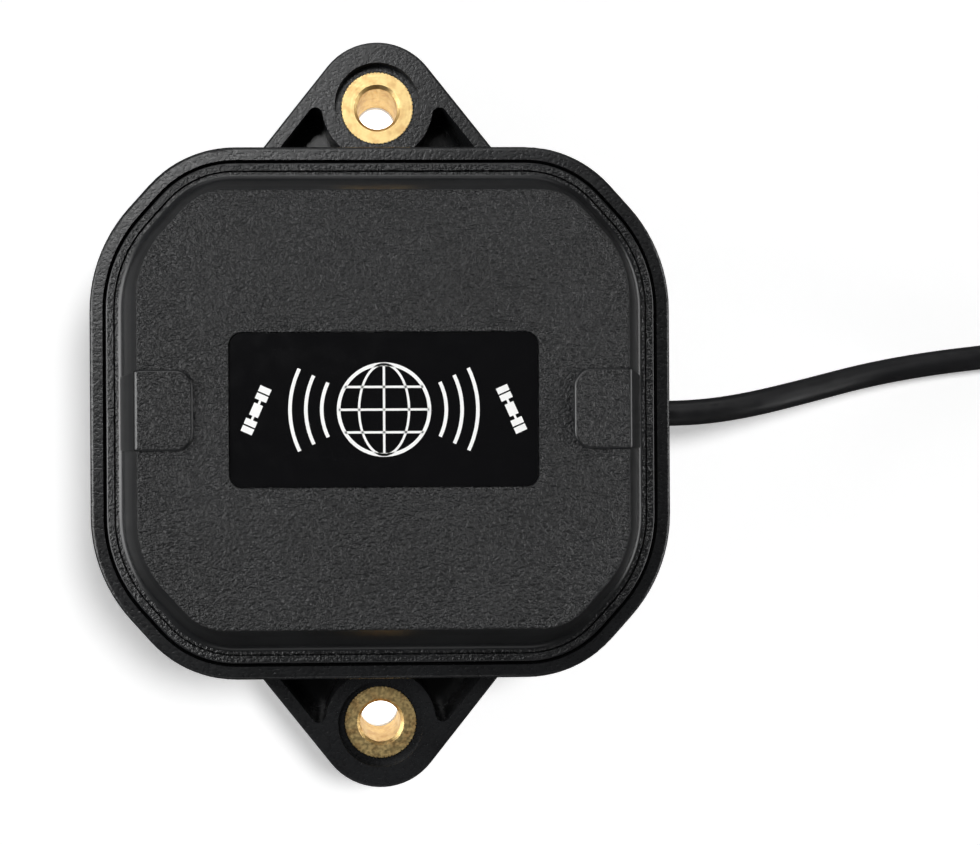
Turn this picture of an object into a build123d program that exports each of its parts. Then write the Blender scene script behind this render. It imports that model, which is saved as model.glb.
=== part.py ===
from build123d import *
import os
from math import cos, hypot, pi, radians, sin, tan

# A low, square GNSS antenna head with two screw lugs and a captive coaxial lead.
# Frame: +Z is the antenna's up, the underside lies on Z = 0, and the origin is under the middle
# of the housing. The lugs stand out along Y and the lead leaves along +X. Millimetres.

# ---------------------------------------------------------------- driving dimensions
HALF_X, HALF_Y = 30.0, 27.5          # housing outline
CUT_X, CUT_Y = 9.7, 10.8             # how much of each side the slanted corners take
END_BEND_R = 12.0                    # bend between a lug side (along X) and a slanted corner
SIDE_BEND_R = 16.0                   # bend between the other side (along Y) and a slanted corner

LUG_SPAN = 82.0                      # tip to tip over both lugs
LUG_HOLE_Y = 34.0                    # lug hole centre from the middle
LUG_TIP_R = LUG_SPAN / 2 - LUG_HOLE_Y
LUG_HEIGHT = 7.5
LUG_SIDE_ANGLE = 38.5                # lean of a lug's straight side from the Y axis
LUG_RIB = 1.5                        # thickness left beside a lug's weight-saving pocket
LUG_BOSS_R = 6.1                     # outside of the boss round the hole, where the pockets start
LUG_WEB_HALF = 3.0                   # web between the boss and the housing wall
POCKET_FLOOR_Z = 3.0
POCKET_BEND_R = 0.8
EJECTOR_R, EJECTOR_DEPTH = 1.0, 0.12
EJECTOR_X, EJECTOR_Y = 7.1, 32.2

BUSH_TIP_R, BUSH_ROOT_R = 4.08, 3.84  # knurl crests and roots
BUSH_TEETH = 60
BUSH_BORE_R = 2.25                   # clears an M4 screw
BUSH_CHAMFER = 0.35
BUSH_HEIGHT = 6.6
BUSH_SEAT_R = 3.95                   # moulded round the crests
BUSH_WELL_R = 4.7                    # shallow well above the bush

BASE_FLOOR_Z = 2.0
WALL_OUT, WALL_IN = 0.6, 3.2         # base side wall, measured in from the outline
RIM_BOTTOM_Z, RIM_TOP_Z = 10.8, 14.0
RIM_UNDERCUT, RIM_EDGE_R = 0.4, 0.5
LIP_IN = 1.42                        # inner face of the rim's lip
LEDGE_Z = 11.6                       # the cover's flange stands here
GROOVE_OUT, GROOVE_IN, GROOVE_Z = 2.0, 2.9, 10.8
FOOT_CHAMFER = 0.5

FLANGE_OUT = 1.78                    # cover flange, 0.36 inside the lip
FLANGE_TOP_Z = 14.3
FLANGE_EDGE_R = 0.25
CREASE_OUT, CREASE_IN, CREASE_DEPTH = 2.6, 2.8, 0.5
DOME_IN = 3.55                       # foot of the cover's sloping wall
DOME_SLOPE = 21.5                    # lean of that wall from the vertical
DOME_TOP_Z = 22.2
DOME_SINK = 0.5                      # how far the dome's block reaches down into the flange
DOME_EDGE_R, DOME_FOOT_R = 0.35, 1.0
CAVITY_IN, CAVITY_TOP_Z = 4.6, 20.5

PAD_INNER_X, PAD_HALF_Y, PAD_BEND_R = 18.0, 3.84, 1.7   # raised pads over the cover's side edges
PAD_RISE, PAD_SIDE, PAD_EDGE_R = 0.3, 0.3, 0.27

LABEL_X, LABEL_Y, LABEL_R = 29.2, 14.6, 1.2
LABEL_THICK, LABEL_RECESS, LABEL_GAP = 0.25, 0.4, 0.1

CASE_SCREW_X, CASE_SCREW_Y = 20.75, 18.15
CASE_BOSS_R, COVER_BOSS_R = 2.9, 2.1
CASE_SCREW_R, CASE_HEAD_R, CASE_HEAD_H = 1.0, 1.9, 1.4
CASE_HEAD_Z = 0.6
CASE_SCREW_END_Z = 15.0
CASE_WELL_R, CASE_WELL_Z = 2.2, CASE_HEAD_Z + CASE_HEAD_H
CASE_CLEAR_R, CASE_PILOT_R = 1.2, 0.85

BOARD_IN, BOARD_Z, BOARD_THICK = 3.8, 9.3, 1.0
BOARD_NOTCH_X, BOARD_NOTCH_HALF = 25.0, 4.0      # room for the gland in the board's edge
BOARD_SCREW_X, BOARD_SCREW_Y = 22.3, 9.0
BOARD_POST_R, BOARD_SCREW_R, BOARD_PILOT_R = 2.2, 1.0, 0.85
BOARD_HEAD_R, BOARD_HEAD_H, BOARD_SCREW_END_Z = 1.9, 1.2, 4.2
BOARD_TOP_Z = BOARD_Z + BOARD_THICK

PATCH_TALL = 4.0
LOWER_PATCH, LOWER_METAL = 35.0, 30.5
UPPER_PATCH, UPPER_METAL = 25.0, 20.5
TAPE_THICK, METAL_THICK = 0.15, 0.06
FEED_R, FEED_CLEAR_R, FEED_HEAD_R = 0.4, 0.6, 1.0
FEED_STUB, FEED_HEAD_H = 0.6, 0.3
UPPER_FEED, LOWER_FEED = 3.6, 14.2   # feed offset from the middle of each patch

CAN_SIZE, CAN_TALL, CAN_WALL, CAN_X = 20.0, 2.4, 0.25, -1.0
CHIP_TALL = 0.8
CHIPS = [                            # x, y, width and depth of each part on the board
    (-6.5, 5.0, 3.0, 3.0), (-1.0, 5.2, 2.0, 1.6), (5.0, 4.8, 1.4, 1.1), (-6.8, -4.0, 3.8, 3.8),
    (-0.8, -6.2, 2.0, 1.6), (5.0, -4.6, 2.5, 2.0), (5.6, 1.4, 1.6, 0.8), (-6.6, 0.8, 1.6, 0.8),
]

MAGNET_R, MAGNET_TALL, MAGNET_X, MAGNET_FLOOR_Z = 7.0, 3.0, 11.0, 0.8
KEEPER_X, KEEPER_Y, KEEPER_THICK = 36.0, 14.0, 1.0
RATING_X, RATING_Y, RATING_R, RATING_THICK, RATING_RECESS = 26.0, 15.0, 1.5, 0.12, 0.25

# ---------------------------------------------------------------- the lead
LEAD_R = 1.4
LEAD_LENGTH = 5000.0
LEAD_Z = 7.2
GLAND_FACE_X = 31.4
GLAND_NECK_R, GLAND_FLANGE_R, GLAND_COLLAR_R = 2.3, 3.2, 2.6

# Centre line from the gland to the coil, then from the coil to the plug.
RUN_ROUTE = [
    (31.4, 0.0, 7.2),
    (34.8, 0.0, 7.2),
    (40.8, 0.8, 6.8),
    (48.4, 2.5, 4.8),
    (56.6, 4.5, 2.7),
    (64.8, 5.9, 1.6),
    (73.0, 6.8, 1.42),
    (81.3, 8.0, 1.42),
    (89.4, 10.4, 1.42),
    (96.9, 13.5, 1.42),
    (103.6, 17.1, 1.43),
]
TAIL_ROUTE = [
    (88.6, -1.4, 15.7),
    (90.9, 7.2, 15.6),
    (95.4, 15.6, 14.9),
    (102.2, 22.8, 12.0),
    (111.2, 27.2, 7.4),
    (121.4, 28.8, 4.0),
    (131.4, 28.8, 4.0),
]

COIL_X, COIL_Y, COIL_R = 115.0, -8.0, 21.7
COIL_WIDE, COIL_TALL, COIL_BEND_R = 20.4, 17.1, 5.0
TIE_ANGLES = (20.0, 245.0)
TIE_WIDE, TIE_WALL, TIE_BEND_R = 3.6, 0.6, 5.2

# ---------------------------------------------------------------- the coaxial plug, along +X
PLUG_X, PLUG_Y, PLUG_Z = TAIL_ROUTE[-1]            # where the lead ends inside the sleeve
SLEEVE_BACK, SLEEVE_FRONT, SLEEVE_R = -5.3, 6.4, 2.25
SLEEVE_BORE_R = LEAD_R + 0.03
FERRULE_BACK, FERRULE_FRONT, FERRULE_R, FERRULE_BORE_R = 0.0, 6.6, 1.95, 1.55
NUT_ACROSS, NUT_BACK, NUT_FRONT, NUT_MOUTH = 8.0, 8.2, 16.4, 0.35
NUT_THREAD_R, NUT_THREAD_PITCH, NUT_THREAD_DEPTH, NUT_THREADS = 2.85, 0.706, 0.3, 7
SHELL_R, SHELL_FRONT = 2.28, 14.0
INSULATOR_R, PIN_R, PIN_FRONT = 2.03, 0.46, 15.9
CORE_R, CORE_BACK, SHOULDER = 1.13, 0.6, 8.0


# ---------------------------------------------------------------- shared shapes
JUST = 1e-3                          # for telling whether two places are the same


def outline(inset=0.0):
    """Plan of the housing: a rectangle with slanted corners and round bends, drawn in by inset."""
    a, b = HALF_X - inset, HALF_Y - inset
    slant = hypot(CUT_X, CUT_Y)
    reach = (HALF_X - CUT_X) * CUT_Y + HALF_Y * CUT_X - inset * slant
    x_end = (reach - b * CUT_X) / CUT_Y
    y_end = (reach - a * CUT_Y) / CUT_X
    plan = Polygon(
        (a, y_end), (x_end, b), (-x_end, b), (-a, y_end),
        (-a, -y_end), (-x_end, -b), (x_end, -b), (a, -y_end),
        align=None,
    )
    side_bends = plan.vertices().filter_by(lambda v: abs(v.X) > a - JUST)
    plan = fillet(side_bends, SIDE_BEND_R - inset)
    end_bends = plan.vertices().filter_by(lambda v: abs(v.Y) > b - JUST and abs(v.X) > x_end - JUST)
    return fillet(end_bends, END_BEND_R - inset)


def slab(sketch, low, high, taper=0.0):
    """A sketch raised from one height to another."""
    return extrude(Pos(0, 0, low) * sketch, amount=high - low, taper=taper)


def disc(radius, low, high, x=0.0, y=0.0):
    """An upright cylinder between two heights."""
    return Pos(x, y, low) * Cylinder(radius, high - low, align=(Align.CENTER, Align.CENTER, Align.MIN))


def turned(*profile):
    """A solid of revolution about the X axis from its (x, radius) corners."""
    return revolve(Polygon(*profile, align=None), axis=Axis.X)


def rounded_plate(wide, deep, bend, low, high):
    return slab(RectangleRounded(wide, deep, bend), low, high)


def four_corners(x, y):
    return [(i * x, j * y) for i in (1, -1) for j in (1, -1)]


def at_corners(shape, x, y):
    """Four separate copies of a solid, one in each corner."""
    return Compound(children=[Pos(i, j, 0) * shape for i, j in four_corners(x, y)])


def edges_at(shape, z, tolerance=1e-4):
    """The edges that lie wholly at one height."""
    return shape.edges().filter_by(
        lambda e: abs(e.bounding_box().min.Z - z) < tolerance
        and abs(e.bounding_box().max.Z - z) < tolerance
    )


# ---------------------------------------------------------------- base housing
def lug_side(distance, y):
    """X of the line beside a lug at that distance from the hole's centre, at one Y."""
    lean = radians(LUG_SIDE_ANGLE)
    return (distance - sin(lean) * (y - LUG_HOLE_Y)) / cos(lean)


def lug_plan():
    lean = radians(LUG_SIDE_ANGLE)
    touch_x, touch_y = LUG_TIP_R * cos(lean), LUG_HOLE_Y + LUG_TIP_R * sin(lean)
    root_y = HALF_Y - 4.0
    root_x = lug_side(LUG_TIP_R, root_y)
    sides = Polygon(
        (touch_x, touch_y), (-touch_x, touch_y), (-root_x, root_y), (root_x, root_y),
        align=None,
    )
    return sides + Pos(0, LUG_HOLE_Y) * Circle(LUG_TIP_R)


def lug_pocket_plan():
    """The pocket on the +X side of a lug, between its rib, its boss and the housing wall."""
    wall_y = HALF_Y - WALL_OUT
    inner = LUG_TIP_R - LUG_RIB
    top_y = LUG_HOLE_Y + 3.0
    plan = Polygon(
        (LUG_WEB_HALF, wall_y), (lug_side(inner, wall_y), wall_y),
        (lug_side(inner, top_y), top_y), (LUG_WEB_HALF, top_y),
        align=None,
    )
    plan -= Pos(0, LUG_HOLE_Y) * Circle(LUG_BOSS_R)
    plan = Sketch() + plan.faces().sort_by(SortBy.AREA)[-1]
    tip = plan.vertices().sort_by(Axis.Y)[-1]
    return fillet(tip, POCKET_BEND_R)


def make_lug():
    lug = slab(lug_plan(), 0, LUG_HEIGHT)
    rim = edges_at(lug, LUG_HEIGHT).filter_by(lambda e: e.bounding_box().max.Y > HALF_Y)
    lug = fillet(rim, 0.35)
    foot = edges_at(lug, 0).filter_by(lambda e: e.bounding_box().max.Y > HALF_Y)
    return chamfer(foot, 0.3)


def cut_lug(base):
    """Takes the bush's seat and the two pockets out of the lug on +Y."""
    base -= disc(BUSH_SEAT_R, -1, LUG_HEIGHT + 1, y=LUG_HOLE_Y)
    base -= disc(BUSH_WELL_R, BUSH_HEIGHT, LUG_HEIGHT + 1, y=LUG_HOLE_Y)
    pocket = slab(lug_pocket_plan(), POCKET_FLOOR_Z, LUG_HEIGHT + 1)
    mark = disc(EJECTOR_R, POCKET_FLOOR_Z - EJECTOR_DEPTH, POCKET_FLOOR_Z + 0.1, EJECTOR_X, EJECTOR_Y)
    pocket += mark
    return base - pocket - mirror(pocket, about=Plane.YZ)


def make_base():
    wall = slab(outline(WALL_OUT), 0, RIM_BOTTOM_Z + 1)
    wall = chamfer(edges_at(wall, 0), FOOT_CHAMFER)
    rim = slab(outline(), RIM_BOTTOM_Z, RIM_TOP_Z)
    rim = chamfer(edges_at(rim, RIM_BOTTOM_Z), RIM_UNDERCUT)
    rim = fillet(edges_at(rim, RIM_TOP_Z), RIM_EDGE_R)
    base = wall + rim + make_lug() + mirror(make_lug(), about=Plane.XZ)
    base = cut_lug(base)
    base = mirror(cut_lug(mirror(base, about=Plane.XZ)), about=Plane.XZ)

    room = slab(outline(WALL_IN), BASE_FLOOR_Z, RIM_TOP_Z + 1)
    base -= room
    base -= slab(outline(LIP_IN), LEDGE_Z, RIM_TOP_Z + 1)
    base -= slab(outline(GROOVE_OUT), GROOVE_Z, LEDGE_Z) - slab(outline(GROOVE_IN), GROOVE_Z, LEDGE_Z)

    inside = slab(outline(WALL_IN), BASE_FLOOR_Z, LEDGE_Z)
    for x, y in four_corners(CASE_SCREW_X, CASE_SCREW_Y):
        base += disc(CASE_BOSS_R, BASE_FLOOR_Z, LEDGE_Z, x, y) & inside
    for x, y in four_corners(BOARD_SCREW_X, BOARD_SCREW_Y):
        base += disc(BOARD_POST_R, BASE_FLOOR_Z, BOARD_Z, x, y)
    for side in (1, -1):
        base += Pos(0, side * 13.0, BASE_FLOOR_Z + 1.0) * Box(36.0, 1.0, 2.0)
        base += disc(MAGNET_R + 1.1, BASE_FLOOR_Z, MAGNET_FLOOR_Z + MAGNET_TALL, side * MAGNET_X)
    for side in (1, -1):
        base -= disc(MAGNET_R + 0.05, MAGNET_FLOOR_Z, MAGNET_FLOOR_Z + MAGNET_TALL + 1, side * MAGNET_X)

    for x, y in four_corners(CASE_SCREW_X, CASE_SCREW_Y):
        base -= disc(CASE_CLEAR_R, -1, LEDGE_Z + 1, x, y)
        base -= disc(CASE_WELL_R, -1, CASE_WELL_Z, x, y)
    for x, y in four_corners(BOARD_SCREW_X, BOARD_SCREW_Y):
        base -= disc(BOARD_PILOT_R, BOARD_SCREW_END_Z - 0.4, BOARD_Z + 1, x, y)
    base -= Pos(HALF_X - 2, 0, LEAD_Z) * Rot(0, 90, 0) * Cylinder(GLAND_NECK_R, 8)
    base -= rounded_plate(RATING_X + 0.3, RATING_Y + 0.3, RATING_R, -1, RATING_RECESS)
    return base


# ---------------------------------------------------------------- cover
def dome(grow_out=0.0, grow_up=0.0):
    """The cover's raised block, optionally a little larger all round and taller."""
    top = DOME_TOP_Z + grow_up
    low_inset = DOME_IN - grow_out - DOME_SINK * tan(radians(DOME_SLOPE))
    block = slab(outline(low_inset), FLANGE_TOP_Z - DOME_SINK, top, taper=DOME_SLOPE)
    return fillet(edges_at(block, top), DOME_EDGE_R + grow_up)


def make_pad():
    """A raised pad that wraps over the cover's edge on +X."""
    reach = HALF_X - PAD_INNER_X
    plan = Pos(PAD_INNER_X + reach, 0) * RectangleRounded(2 * reach, 2 * PAD_HALF_Y, PAD_BEND_R)
    block = slab(plan, FLANGE_TOP_Z - 0.4, DOME_TOP_Z + 1) & dome(PAD_SIDE, PAD_RISE)
    top = edges_at(block, DOME_TOP_Z + PAD_RISE)
    inner = top.filter_by(lambda e: e.bounding_box().min.X < PAD_INNER_X + 2 * PAD_BEND_R)
    return fillet(inner, PAD_EDGE_R)


def make_cover():
    flange = slab(outline(FLANGE_OUT), LEDGE_Z, FLANGE_TOP_Z)
    flange = fillet(edges_at(flange, FLANGE_TOP_Z), FLANGE_EDGE_R)
    cover = flange + dome()
    foot = edges_at(cover, FLANGE_TOP_Z).filter_by(
        lambda e: abs(e.center().X) < HALF_X - DOME_IN + 0.3 and abs(e.center().Y) < HALF_Y - DOME_IN + 0.3
    )
    foot = [e for e in foot if e not in edges_at(flange, FLANGE_TOP_Z)]
    cover = fillet(foot, DOME_FOOT_R)
    crease = slab(outline(CREASE_OUT), FLANGE_TOP_Z - CREASE_DEPTH, FLANGE_TOP_Z + 1)
    crease -= slab(outline(CREASE_IN), FLANGE_TOP_Z - CREASE_DEPTH, FLANGE_TOP_Z + 1)
    cover -= crease
    cover += make_pad() + mirror(make_pad(), about=Plane.YZ)
    cover -= rounded_plate(
        LABEL_X + 2 * LABEL_GAP, LABEL_Y + 2 * LABEL_GAP, LABEL_R + LABEL_GAP,
        DOME_TOP_Z - LABEL_RECESS, DOME_TOP_Z + 1,
    )

    cavity = slab(outline(CAVITY_IN), LEDGE_Z, CAVITY_TOP_Z, taper=DOME_SLOPE)
    cover -= cavity
    for x, y in four_corners(CASE_SCREW_X, CASE_SCREW_Y):
        cover += disc(COVER_BOSS_R, LEDGE_Z, CAVITY_TOP_Z, x, y) & cavity
    for x, y in four_corners(CASE_SCREW_X, CASE_SCREW_Y):
        cover -= disc(CASE_PILOT_R, LEDGE_Z - 1, CASE_SCREW_END_Z + 0.4, x, y)
    return cover


# ---------------------------------------------------------------- seal, labels, bushes, screws
def make_seal():
    low = GROOVE_Z + 0.05
    return slab(outline(GROOVE_OUT + 0.05), low, LEDGE_Z) - slab(outline(GROOVE_IN - 0.05), low, LEDGE_Z)


def make_front_label():
    low = DOME_TOP_Z - LABEL_RECESS
    return rounded_plate(LABEL_X, LABEL_Y, LABEL_R, low, low + LABEL_THICK)


def make_rating_label():
    return rounded_plate(RATING_X, RATING_Y, RATING_R, RATING_RECESS - RATING_THICK, RATING_RECESS)


def make_bush(y):
    """A knurled brass bush that takes the screw's clamping load."""
    points = []
    for i in range(BUSH_TEETH):
        for step, radius in ((0.0, BUSH_ROOT_R), (0.35, BUSH_TIP_R), (0.65, BUSH_TIP_R)):
            turn = 2 * pi * (i + step) / BUSH_TEETH
            points.append((radius * cos(turn), radius * sin(turn)))
    bush = slab(Polygon(*points, align=None), 0, BUSH_HEIGHT)
    bush -= disc(BUSH_BORE_R, -1, BUSH_HEIGHT + 1)
    mouths = bush.edges().filter_by(GeomType.CIRCLE)
    bush = chamfer(mouths, BUSH_CHAMFER)
    return Pos(0, y, 0) * bush


def cross_recess(size, depth):
    """The driver's cross, pointing down from Z = 0."""
    arm = Box(size, size / 4, depth, align=(Align.CENTER, Align.CENTER, Align.MAX))
    return arm + Rot(0, 0, 90) * arm


def make_case_screws():
    """Four thread-forming screws that go in from below."""
    shank_low = CASE_HEAD_Z + CASE_HEAD_H
    one = disc(CASE_SCREW_R, shank_low, CASE_SCREW_END_Z)
    one = chamfer(edges_at(one, CASE_SCREW_END_Z), 0.6)
    head = disc(CASE_HEAD_R, CASE_HEAD_Z, shank_low)
    head = fillet(edges_at(head, CASE_HEAD_Z), 0.7)
    head -= Pos(0, 0, CASE_HEAD_Z) * Rot(180, 0, 0) * cross_recess(2.4, 1.1)
    return at_corners(one + head, CASE_SCREW_X, CASE_SCREW_Y)


def make_board_screws():
    one = disc(BOARD_SCREW_R, BOARD_SCREW_END_Z, BOARD_TOP_Z)
    one = chamfer(edges_at(one, BOARD_SCREW_END_Z), 0.5)
    head_top = BOARD_TOP_Z + BOARD_HEAD_H
    head = disc(BOARD_HEAD_R, BOARD_TOP_Z, head_top)
    head = fillet(edges_at(head, head_top), 0.5)
    head -= Pos(0, 0, head_top) * cross_recess(2.0, 0.8)
    return at_corners(one + head, BOARD_SCREW_X, BOARD_SCREW_Y)


# ---------------------------------------------------------------- electronics
LOWER_PATCH_Z = BOARD_TOP_Z + TAPE_THICK
LOWER_METAL_Z = LOWER_PATCH_Z + PATCH_TALL
UPPER_TAPE_Z = LOWER_METAL_Z + METAL_THICK
UPPER_PATCH_Z = UPPER_TAPE_Z + TAPE_THICK
UPPER_METAL_Z = UPPER_PATCH_Z + PATCH_TALL
FEED_TOP_Z = UPPER_METAL_Z + METAL_THICK
UPPER_FEEDS = [(UPPER_FEED, 0.0), (0.0, UPPER_FEED)]
LOWER_FEEDS = [(-LOWER_FEED, 0.0), (0.0, -LOWER_FEED)]


def pierced(plate, feeds):
    """A plate with a clearance hole at each feed."""
    for x, y in feeds:
        plate -= disc(FEED_CLEAR_R, BOARD_Z, FEED_TOP_Z + 1, x, y)
    return plate


def square(size, low, high, bend=1.0):
    return rounded_plate(size, size, bend, low, high)


def make_board():
    board = slab(outline(BOARD_IN), BOARD_Z, BOARD_TOP_Z)
    for x, y in four_corners(CASE_SCREW_X, CASE_SCREW_Y):
        board -= disc(CASE_BOSS_R + 0.35, BOARD_Z - 1, BOARD_TOP_Z + 1, x, y)
    for x, y in four_corners(BOARD_SCREW_X, BOARD_SCREW_Y):
        board -= disc(BOARD_SCREW_R + 0.15, BOARD_Z - 1, BOARD_TOP_Z + 1, x, y)
    notch = Box(2 * (HALF_X - BOARD_NOTCH_X), 2 * BOARD_NOTCH_HALF, 4 * BOARD_THICK)
    board -= Pos(HALF_X, 0, BOARD_Z) * notch
    return pierced(board, UPPER_FEEDS + LOWER_FEEDS)


def make_feed_pins():
    """Soldered pins that carry each patch's signal down to the board."""
    pins = []
    for feeds, head_z in ((UPPER_FEEDS, FEED_TOP_Z), (LOWER_FEEDS, UPPER_TAPE_Z)):
        for x, y in feeds:
            stem = disc(FEED_R, BOARD_Z - FEED_STUB, head_z, x, y)
            head = disc(FEED_HEAD_R, head_z, head_z + FEED_HEAD_H, x, y)
            pins.append(stem + head)
    return Compound(children=pins)


def make_shield_can():
    """A tin lid soldered under the board over the amplifier."""
    low = BOARD_Z - CAN_TALL
    inside = CAN_SIZE - 2 * CAN_WALL
    can = square(CAN_SIZE, low, BOARD_Z, 0.6)
    return Pos(CAN_X, 0, 0) * (can - square(inside, low + CAN_WALL, BOARD_Z + 1, 0.4))


def make_chips():
    """The amplifiers and filters, face down under the board."""
    chips = []
    for x, y, wide, deep in CHIPS:
        chips.append(Pos(x, y, BOARD_Z - CHIP_TALL / 2) * Box(wide, deep, CHIP_TALL))
    return Compound(children=chips)


def make_magnet(side):
    magnet = disc(MAGNET_R, MAGNET_FLOOR_Z, MAGNET_FLOOR_Z + MAGNET_TALL, side * MAGNET_X)
    return chamfer(magnet.edges(), 0.2)


# ---------------------------------------------------------------- lead inside the housing
def make_gland():
    """A soft bush that seals the lead: a flange inside, a neck in the wall and a collar outside."""
    wall_in, wall_out = HALF_X - WALL_IN, HALF_X - WALL_OUT
    body = turned(
        (wall_in - 1.3, LEAD_R), (wall_in - 1.3, GLAND_FLANGE_R - 0.3), (wall_in - 1.0, GLAND_FLANGE_R),
        (wall_in, GLAND_FLANGE_R), (wall_in, GLAND_NECK_R), (wall_out, GLAND_NECK_R),
        (wall_out, GLAND_COLLAR_R), (GLAND_FACE_X - 0.6, GLAND_COLLAR_R - 0.2),
        (GLAND_FACE_X, GLAND_COLLAR_R - 0.8), (GLAND_FACE_X, LEAD_R),
    )
    return Pos(0, 0, LEAD_Z) * body


def make_inner_lead():
    body = turned((20.6, 0), (20.6, LEAD_R), (GLAND_FACE_X, LEAD_R), (GLAND_FACE_X, 0))
    return Pos(0, 0, LEAD_Z) * body


def make_crimp_ring():
    """Stops the lead being pulled out through the gland."""
    ring = turned((22.4, LEAD_R), (22.4, 1.95), (24.9, 1.95), (24.9, LEAD_R))
    return Pos(0, 0, LEAD_Z) * ring


def make_core():
    return Pos(0, 0, LEAD_Z) * turned((17.6, 0.25), (17.6, 0.75), (20.6, 0.75), (20.6, 0.25))


def make_inner_wire():
    """The lead's centre wire, bent up to its pad under the board."""
    rise = BOARD_Z - LEAD_Z
    route = FilletPolyline(
        (20.6, 0, LEAD_Z), (14.4, 0, LEAD_Z), (14.4 - rise * 0.5, 0, BOARD_Z), radius=0.8
    )
    start = Plane(origin=(20.6, 0, LEAD_Z), z_dir=(-1, 0, 0))
    return sweep(start * Circle(0.25), path=route)


# ---------------------------------------------------------------- free lead
def bend_radii(route):
    """The largest tangent arc at each inner point: 0.45 of the shorter run, over tan of half the turn."""
    points = [Vector(*p) for p in route]
    radii = []
    for before, here, after in zip(points, points[1:], points[2:]):
        one, two = here - before, after - here
        turn = radians(one.get_angle(two))
        radii.append(0.45 * min(one.length, two.length) / tan(turn / 2))
    return radii


def lead_tube(name, route):
    """A round tube of straight runs joined by tangent arcs."""
    radii = bend_radii(route)
    line = FilletPolyline(*route, radius=radii)
    start = Plane(origin=route[0], z_dir=line % 0)
    tube = sweep(start * Circle(LEAD_R), path=line)
    share = tube.volume / (pi * LEAD_R**2 * line.length)
    print(name, "length", round(line.length, 1), "volume share", round(share, 4))
    print(name, "radii", [round(r, 1) for r in radii], "tightest", round(min(radii), 1))
    return tube, line.length


def make_coil():
    """The outer shape of the wound lead, a flat-bottomed ring."""
    section = Plane.XZ * Pos(COIL_R, COIL_TALL / 2) * RectangleRounded(COIL_WIDE, COIL_TALL, COIL_BEND_R)
    return Pos(COIL_X, COIL_Y, 0) * revolve(section, axis=Axis.Z)


def make_ties():
    """Flat wire ties that hold the coil together."""
    tall = COIL_TALL + TIE_WALL
    outer = RectangleRounded(COIL_WIDE + TIE_WALL, tall, TIE_BEND_R)
    inner = RectangleRounded(COIL_WIDE - TIE_WALL, tall - 2 * TIE_WALL, TIE_BEND_R - TIE_WALL)
    band = extrude(Plane.XZ * Pos(COIL_R, tall / 2) * (outer - inner), amount=TIE_WIDE / 2, both=True)
    return Compound(children=[Pos(COIL_X, COIL_Y, 0) * Rot(0, 0, angle) * band for angle in TIE_ANGLES])


# ---------------------------------------------------------------- plug
def place_plug(shape):
    return Pos(PLUG_X, PLUG_Y, PLUG_Z) * shape


def make_sleeve():
    """Shrunk sleeve over the lead's end and the ferrule."""
    return place_plug(turned(
        (SLEEVE_BACK, SLEEVE_BORE_R), (SLEEVE_BACK, 1.75),
        (FERRULE_BACK - 2.0, 1.8), (FERRULE_BACK - 0.4, SLEEVE_R),
        (SLEEVE_FRONT - 0.3, SLEEVE_R), (SLEEVE_FRONT, SLEEVE_R - 0.15), (SLEEVE_FRONT, FERRULE_R),
        (FERRULE_BACK, FERRULE_R), (FERRULE_BACK, SLEEVE_BORE_R),
    ))


def make_ferrule():
    return place_plug(turned(
        (FERRULE_BACK, FERRULE_BORE_R), (FERRULE_BACK, FERRULE_R),
        (FERRULE_FRONT, FERRULE_R), (FERRULE_FRONT, FERRULE_BORE_R),
    ))


def make_plug_body():
    """Collar behind the nut, a neck that carries the nut, and the outer contact inside it."""
    return place_plug(turned(
        (FERRULE_BACK, CORE_R), (FERRULE_BACK, FERRULE_BORE_R), (FERRULE_FRONT, FERRULE_BORE_R),
        (FERRULE_FRONT, 2.7), (7.0, 3.1), (NUT_BACK - 0.1, 3.1), (NUT_BACK - 0.1, 2.6),
        (9.0, 2.6), (9.0, 2.25), (9.7, 2.25), (9.7, 2.6), (11.2, 2.6), (11.2, SHELL_R),
        (SHELL_FRONT, SHELL_R), (SHELL_FRONT, INSULATOR_R), (SHOULDER, INSULATOR_R), (SHOULDER, CORE_R),
    ))


def make_insulator():
    return place_plug(turned(
        (CORE_BACK, PIN_R), (CORE_BACK, CORE_R), (SHOULDER, CORE_R),
        (SHOULDER, INSULATOR_R), (SHELL_FRONT, INSULATOR_R), (SHELL_FRONT, PIN_R),
    ))


def make_pin():
    tip = PIN_FRONT - 0.5
    return place_plug(turned(
        (CORE_BACK, 0), (CORE_BACK, PIN_R), (tip, PIN_R), (PIN_FRONT, 0.15), (PIN_FRONT, 0),
    ))


def make_retaining_ring():
    """Split ring that lets the nut turn on the body without coming off."""
    ring = turned((9.1, 2.27), (9.1, 2.95), (9.6, 2.95), (9.6, 2.27))
    return place_plug(ring - Pos(9.35, 0, 3) * Box(2, 1.0, 3))


def make_plug_seal():
    bore = SHELL_R + 0.02
    return place_plug(turned((11.25, bore), (11.25, 2.78), (11.95, 2.78), (11.95, bore)))


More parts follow.
